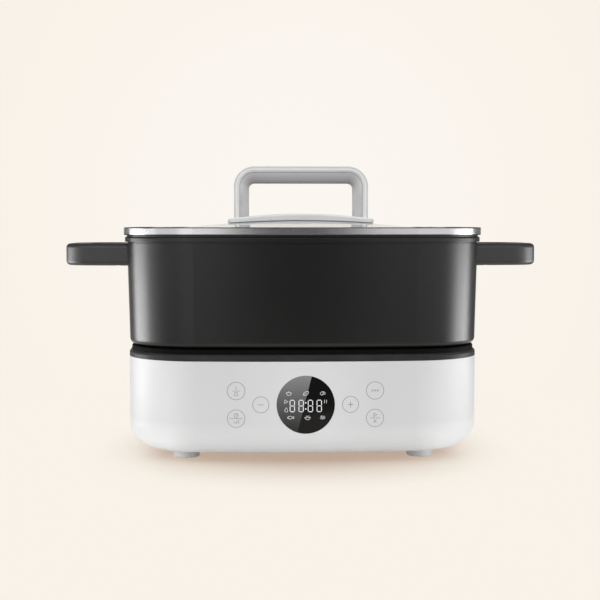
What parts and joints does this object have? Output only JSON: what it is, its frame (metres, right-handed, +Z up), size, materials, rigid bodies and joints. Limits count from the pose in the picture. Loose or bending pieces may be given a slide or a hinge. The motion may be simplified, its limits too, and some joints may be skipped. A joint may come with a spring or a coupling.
{
  "type": "electric hot pot with lid",
  "caption": "Electric hot pot: white touch-key base, lift-off black cast pot with loop side handles, steel-rimmed domed glass lid with arch handle.",
  "frame": {"origin": "on the table, under the middle of the base", "axes": "+Z up, the display and keys face -Y, the side handles lie along X"},
  "size_m": [0.3938, 0.2328, 0.2378],
  "materials": {
    "shell_white": "satin gloss white",
    "cover_grey": "fine texture",
    "foot_silicone": "translucent silicone",
    "deck_black": "satin dark grey",
    "plate_aluminium": "machined top",
    "element_steel": "dark steel tube",
    "seal_black": "matte",
    "sheet_steel": "plain sheet",
    "screw_steel": "zinc plated",
    "sensor_steel": "brushed",
    "part_black": "matte",
    "part_white": "matte",
    "window_black": "glossy black window",
    "board_green": "solder mask",
    "relay_blue": "matte",
    "transformer_yellow": "tape",
    "pad_grey": "conductive foam",
    "inlet_black": "matte",
    "pin_brass": "nickel-washed",
    "pot_black": "satin non-stick coat on cast aluminium",
    "handle_black": "satin heat-proof moulding",
    "lid_glass": "clear toughened glass",
    "rim_steel": "polished steel",
    "handle_grey": "satin light grey",
    "gasket_clear": "silicone"
  },
  "bodies": {
    "base": {"base_shell": "shell_white", "bottom_cover": "cover_grey", "foot_front_left": "foot_silicone", "foot_front_right": "foot_silicone", "foot_rear_left": "foot_silicone", "foot_rear_right": "foot_silicone", "housing_screws": "screw_steel", "cooking_deck": "deck_black", "heating_plate": "plate_aluminium", "heating_element": "element_steel", "plate_seal": "seal_black", "heat_pan": "sheet_steel", "heat_pan_screws": "screw_steel", "thermal_cutout": "part_black", "thermal_fuse": "part_white", "sensor_bracket": "sheet_steel", "sensor_bracket_screws": "screw_steel", "display_window": "window_black", "led_module": "part_white", "panel_board": "board_green", "panel_board_screws": "screw_steel", "touch_pads": "pad_grey", "power_board": "board_green", "power_board_screws": "screw_steel", "relay": "relay_blue", "transformer": "transformer_yellow", "connector": "part_white", "capacitor": "part_black", "inlet_body": "inlet_black", "inlet_pins": "pin_brass"},
    "sensor": {"sensor_cap": "sensor_steel", "sensor_clip": "screw_steel", "sensor_spring": "screw_steel"},
    "pot": {"pot_body": "pot_black", "side_handle_left": "handle_black", "side_handle_right": "handle_black", "side_handle_screws": "screw_steel"},
    "lid": {"lid_glass": "lid_glass", "lid_rim": "rim_steel", "lid_handle": "handle_grey", "lid_handle_plate": "handle_grey", "lid_handle_gasket": "gasket_clear", "lid_handle_screws": "screw_steel", "lid_grommets": "gasket_clear", "lid_washers": "screw_steel"}
  },
  "joints": [
    {"name": "pot_lift", "type": "slide", "parent": "base", "child": "pot", "axis": [0, 0, 1], "range_m": [0, 0.15]},
    {"name": "lid_lift", "type": "slide", "parent": "pot", "child": "lid", "axis": [0, 0, 1], "range_m": [0, 0.12]},
    {"name": "sensor_press", "type": "slide", "parent": "base", "child": "sensor", "axis": [0, 0, 1], "range_m": [-0.0025, 0], "stiffness_N_per_m": 400, "springref_m": 0.004, "deforming": ["sensor_spring"]}
  ]
}
